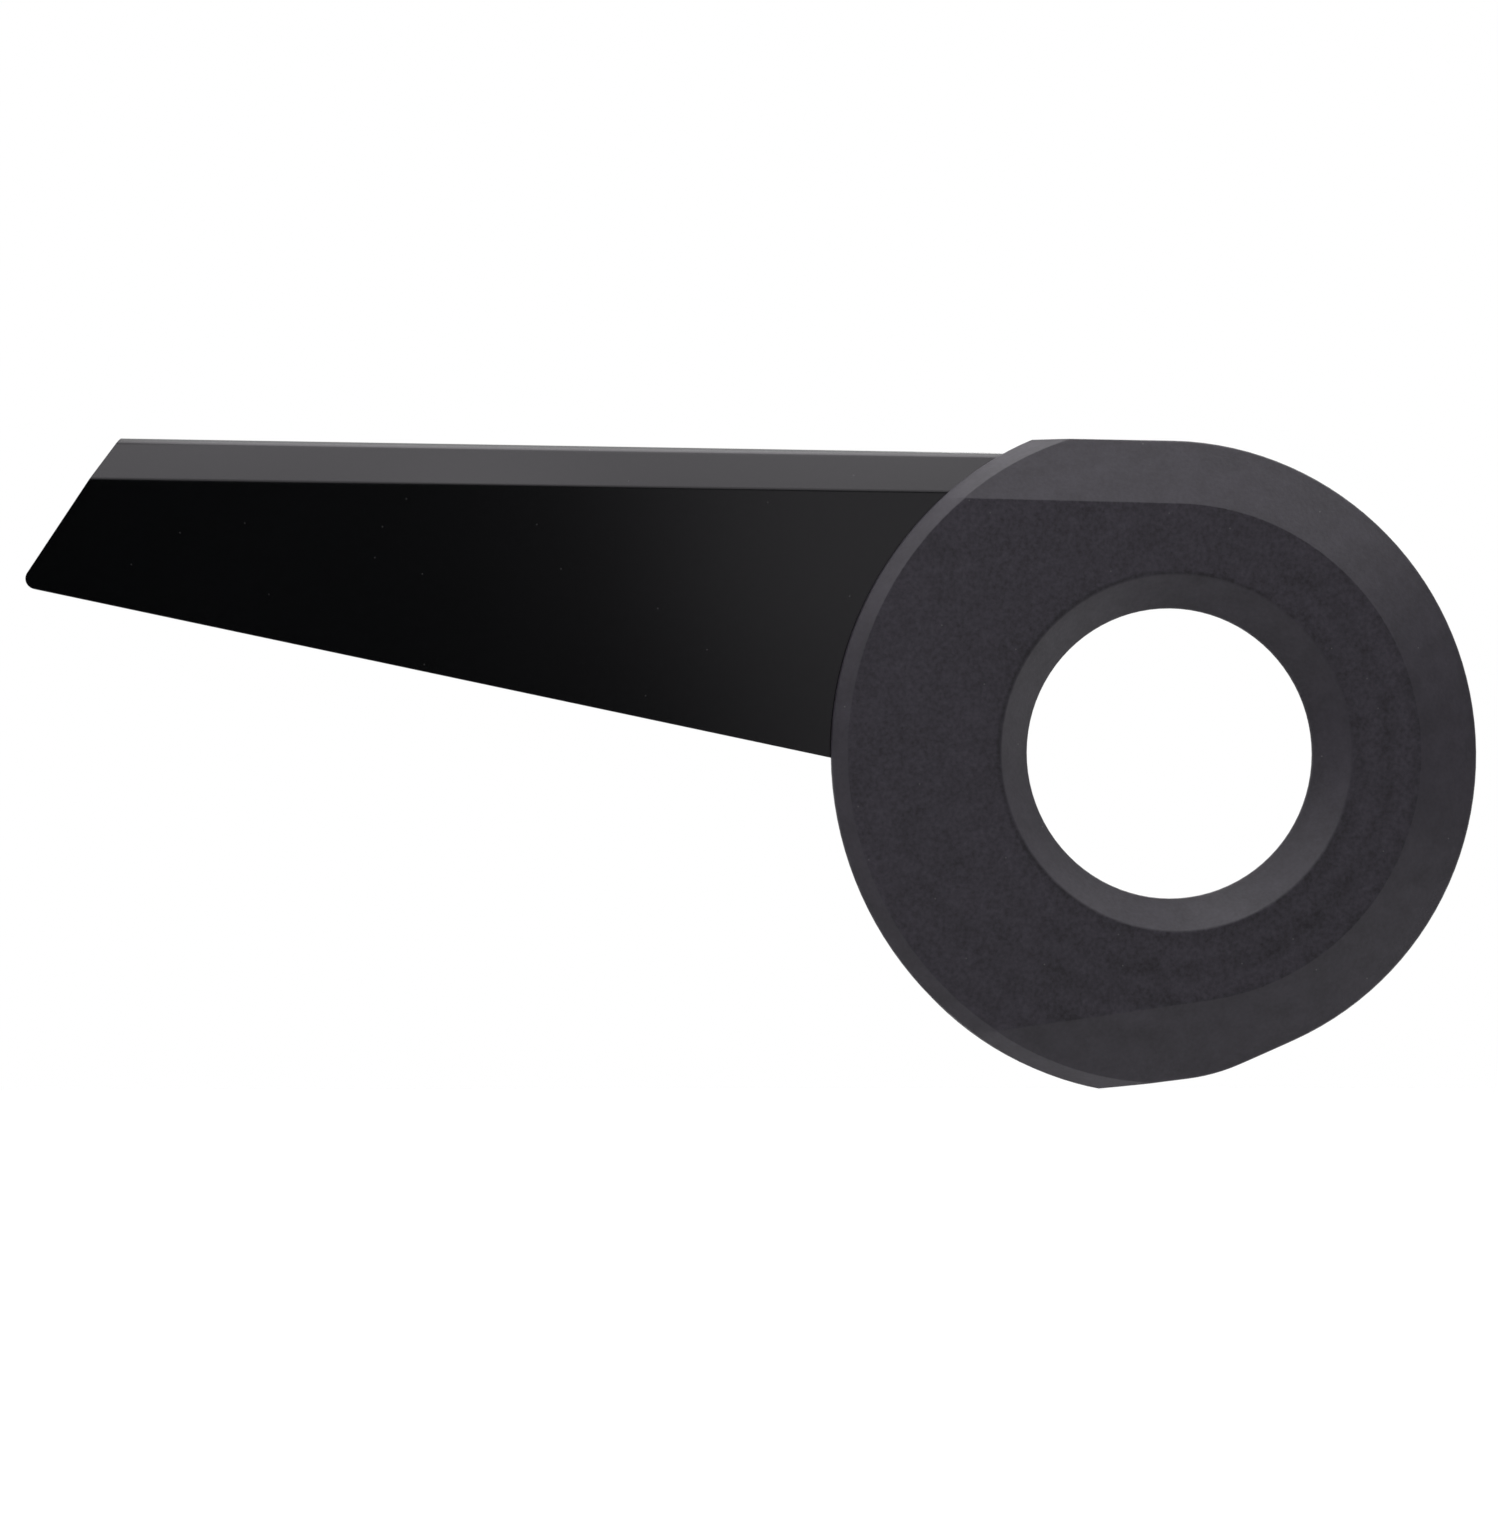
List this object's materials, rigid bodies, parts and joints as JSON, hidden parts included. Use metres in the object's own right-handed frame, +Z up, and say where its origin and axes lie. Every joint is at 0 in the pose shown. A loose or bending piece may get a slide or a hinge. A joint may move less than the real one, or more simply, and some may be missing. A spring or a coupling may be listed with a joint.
{
  "type": "bicycle chain guard",
  "caption": "Bicycle chain guard: a round moulded cover with a dished crank opening, and a long folded sheet arm that shields the upper chain run.",
  "frame": {"origin": "on the crank axis, in the plane where the three bracket bosses end", "axes": "+X forward along the bicycle, +Z up, +Y inboard towards the frame, so the flat face of the cover looks along -Y"},
  "size_m": [0.4507, 0.032, 0.2032],
  "materials": {
    "cover_plastic": "fine-grained matte black",
    "arm_sheet": "black anodised, satin gloss",
    "screw_steel": "zinc plated",
    "washer_steel": "zinc plated",
    "insert_brass": "turned"
  },
  "bodies": {
    "root": {"chainring_cover": "cover_plastic", "guard_arm": "arm_sheet", "arm_screw_1": "screw_steel", "arm_screw_2": "screw_steel", "arm_screw_3": "screw_steel", "arm_screw_4": "screw_steel", "arm_washer_1": "washer_steel", "arm_washer_2": "washer_steel", "arm_washer_3": "washer_steel", "arm_washer_4": "washer_steel", "bracket_insert_1": "insert_brass", "bracket_insert_2": "insert_brass", "bracket_insert_3": "insert_brass"}
  },
  "joints": []
}
